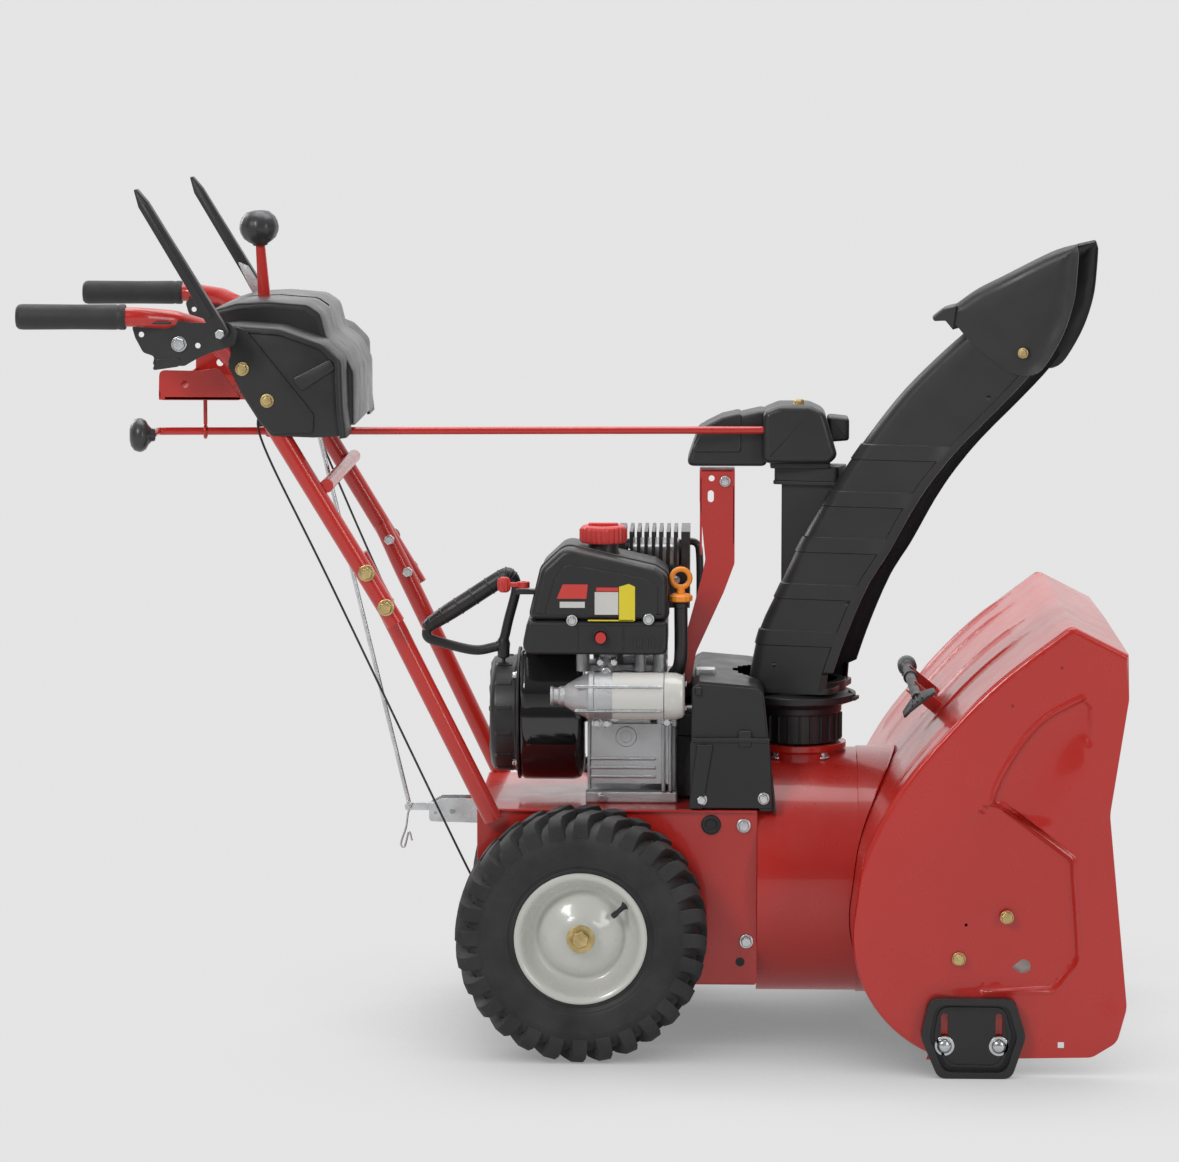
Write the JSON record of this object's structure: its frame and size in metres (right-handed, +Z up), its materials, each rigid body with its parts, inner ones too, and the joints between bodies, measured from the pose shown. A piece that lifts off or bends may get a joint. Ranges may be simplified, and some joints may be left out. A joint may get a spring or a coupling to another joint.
{
  "type": "snow blower",
  "caption": "Walk-behind two-stage snow blower with auger housing, engine, turning chute, lugged wheels and upright handles with levers and a control panel.",
  "frame": {"origin": "on the ground under the middle of the machine's bounding box", "axes": "+X forward, the way the machine drives; +Y to the machine's left; +Z up"},
  "size_m": [1.421, 0.646, 1.1375],
  "materials": {
    "red_paint": "glossy red powder coat",
    "black_plastic": "fine-grained black moulding",
    "gloss_black": "glossy black",
    "black_paint": "satin black",
    "panel_plastic": "dark grey moulding",
    "red_plastic": "smooth red",
    "tyre_rubber": "dull black",
    "rubber": "dull black",
    "rim_paint": "off-white paint",
    "cast_aluminium": "as cast",
    "steel": "bare steel",
    "zinc": "bright zinc plate",
    "gold_zinc": "yellow zinc plate",
    "cast_iron": "black cast iron",
    "orange_plastic": "smooth orange-yellow"
  },
  "bodies": {
    "machine": {"chassis_frame": "red_paint", "bottom_cover": "red_paint", "impeller_housing": "red_paint", "housing_shell": "red_paint", "side_plate_right": "red_paint", "side_plate_left": "red_paint", "shave_plate": "red_paint", "skid_shoes": "black_plastic", "housing_bolts": "gold_zinc", "shaft_bearings": "steel", "gearbox_casing": "cast_iron", "engine_block": "cast_aluminium", "blower_housing": "gloss_black", "recoil_cover": "black_plastic", "fuel_tank": "black_plastic", "carburettor_cover": "black_plastic", "muffler": "steel", "muffler_guard": "black_paint", "starter_motor": "cast_aluminium", "dipstick_tube": "black_plastic", "belt_cover": "black_plastic", "belts": "rubber", "chute_bracket": "red_paint", "control_head": "black_plastic", "lower_handles": "red_paint", "upper_handles": "red_paint", "handle_bolts": "gold_zinc", "grips": "rubber", "control_panel": "panel_plastic", "panel_bracket": "red_paint", "lever_brackets": "black_paint", "cables": "black_plastic"},
    "wheels": {"wheel_axle": "zinc", "rims": "rim_paint", "tyres": "tyre_rubber"},
    "hex_drive": {"hex_shaft": "steel"},
    "friction_disc": {"friction_wheel": "rubber"},
    "fork": {"shift_fork": "zinc"},
    "plate": {"drive_plate": "cast_aluminium"},
    "crank": {"crankshaft": "steel"},
    "reel": {"recoil_reel": "black_plastic"},
    "impeller_drive": {"impeller_shaft": "steel", "impeller": "red_paint"},
    "auger": {"auger_shaft": "steel", "auger_flights": "black_paint"},
    "right_lever": {"lever_right": "black_plastic"},
    "left_lever": {"lever_left": "black_plastic"},
    "speed_lever": {"shift_lever": "red_paint"},
    "speed_rod": {"shift_rod": "zinc"},
    "speed_arm": {"shift_arm": "zinc"},
    "chute": {"chute_lower": "black_plastic"},
    "deflector": {"chute_deflector": "black_plastic"},
    "chute_crank": {"crank_rod": "red_paint"},
    "cap": {"fuel_cap": "red_plastic"},
    "oil_dipstick": {"dipstick": "orange_plastic"},
    "choke": {"choke_lever": "red_plastic"},
    "primer": {"primer_button": "red_plastic"},
    "starter_handle": {"recoil_handle": "black_plastic"},
    "cleanout": {"cleanout_tool": "black_plastic"}
  },
  "joints": [
    {"name": "wheel_spin", "type": "hinge", "parent": "machine", "child": "wheels", "pos_m": [0.0065, 0, 0.165], "axis": [0, 1, 0], "continuous": true},
    {"name": "hex_spin", "type": "hinge", "parent": "machine", "child": "hex_drive", "pos_m": [0.0465, 0, 0.232], "axis": [0, 1, 0], "continuous": true},
    {"name": "friction_wheel_slide", "type": "slide", "parent": "hex_drive", "child": "friction_disc", "axis": [0, 1, 0], "range_m": [0, 0.066]},
    {"name": "fork_slide", "type": "slide", "parent": "machine", "child": "fork", "axis": [0, 1, 0], "range_m": [0, 0.066]},
    {"name": "drive_plate_spin", "type": "hinge", "parent": "machine", "child": "plate", "pos_m": [0.1125, 0, 0.232], "axis": [1, 0, 0], "continuous": true},
    {"name": "crankshaft_spin", "type": "hinge", "parent": "machine", "child": "crank", "pos_m": [0.0065, 0, 0.425], "axis": [1, 0, 0], "continuous": true},
    {"name": "starter_pull", "type": "slide", "parent": "machine", "child": "starter_handle", "axis": [0, 0, 1], "range_m": [0, 0.14], "stiffness_N_per_m": 12, "springref_m": -0.4},
    {"name": "reel_spin", "type": "hinge", "parent": "machine", "child": "reel", "pos_m": [-0.1035, 0, 0.425], "axis": [1, 0, 0], "range_deg": [-247.57, 0]},
    {"name": "auger_spin", "type": "hinge", "parent": "machine", "child": "auger", "pos_m": [0.5251, 0, 0.181], "axis": [0, 1, 0], "continuous": true},
    {"name": "impeller_spin", "type": "hinge", "parent": "machine", "child": "impeller_drive", "pos_m": [0.3065, 0, 0.214], "axis": [1, 0, 0], "continuous": true},
    {"name": "auger_lever_press", "type": "hinge", "parent": "machine", "child": "left_lever", "pos_m": [-0.4495, 0.294, 0.954], "axis": [0, -1, 0], "range_deg": [0, 33], "stiffness_Nm_per_rad": 2.5, "springref_deg": -20.05},
    {"name": "drive_lever_press", "type": "hinge", "parent": "machine", "child": "right_lever", "pos_m": [-0.4495, -0.294, 0.954], "axis": [0, -1, 0], "range_deg": [0, 33], "stiffness_Nm_per_rad": 2.5, "springref_deg": -20.05},
    {"name": "speed_lever_tilt", "type": "hinge", "parent": "machine", "child": "speed_lever", "pos_m": [-0.4125, 0, 0.81], "axis": [0, 1, 0], "range_deg": [0, 24]},
    {"name": "speed_rod_slide", "type": "slide", "parent": "machine", "child": "speed_rod", "axis": [0.2324, 0, -0.9726], "range_m": [0, 0.0229]},
    {"name": "speed_arm_turn", "type": "hinge", "parent": "machine", "child": "speed_arm", "pos_m": [-0.1475, 0, 0.296], "axis": [0, 1, 0], "range_deg": [-14.84, 0]},
    {"name": "chute_turn", "type": "hinge", "parent": "machine", "child": "chute", "pos_m": [0.2935, 0, 0.46], "axis": [0, 0, 1], "range_deg": [-85, 115]},
    {"name": "deflector_tilt", "type": "hinge", "parent": "chute", "child": "deflector", "pos_m": [0.59777, -0.08153, 0.922], "axis": [0.2588, 0.9659, 0], "range_deg": [0, 60]},
    {"name": "chute_crank_turn", "type": "hinge", "parent": "machine", "child": "chute_crank", "pos_m": [-0.5465, -0.174, 0.8193], "axis": [0.9874, 0.1583, -0.0091], "range_deg": [-510, 690]},
    {"name": "fuel_cap_lift", "type": "slide", "parent": "machine", "child": "cap", "axis": [0, 0, 1], "range_m": [0, 0.08]},
    {"name": "dipstick_lift", "type": "slide", "parent": "machine", "child": "oil_dipstick", "axis": [0, 0, 1], "range_m": [0, 0.1]},
    {"name": "choke_turn", "type": "hinge", "parent": "machine", "child": "choke", "pos_m": [-0.0735, -0.096, 0.61], "axis": [0, 0, 1], "range_deg": [0, 60]},
    {"name": "primer_press", "type": "slide", "parent": "machine", "child": "primer", "axis": [0, 1, 0], "range_m": [0, 0.003], "stiffness_N_per_m": 400, "springref_m": -0.002},
    {"name": "cleanout_tool_lift", "type": "slide", "parent": "machine", "child": "cleanout", "axis": [-0.6293, 0, 0.7771], "range_m": [0, 0.05]}
  ],
  "couplings": [
    {"joint": "hex_spin", "follows": "wheel_spin", "ratio": -3.9917},
    {"joint": "friction_wheel_slide", "follows": "speed_lever_tilt", "m_per_rad": 0.15756},
    {"joint": "fork_slide", "follows": "speed_lever_tilt", "m_per_rad": 0.15756},
    {"joint": "speed_rod_slide", "follows": "speed_lever_tilt", "m_per_rad": 0.05467},
    {"joint": "speed_arm_turn", "follows": "speed_lever_tilt", "ratio": -0.6183},
    {"joint": "reel_spin", "follows": "starter_pull", "rad_per_m": -30.864},
    {"joint": "impeller_spin", "follows": "auger_spin", "ratio": 10},
    {"joint": "chute_crank_turn", "follows": "chute_turn", "ratio": 6}
  ]
}
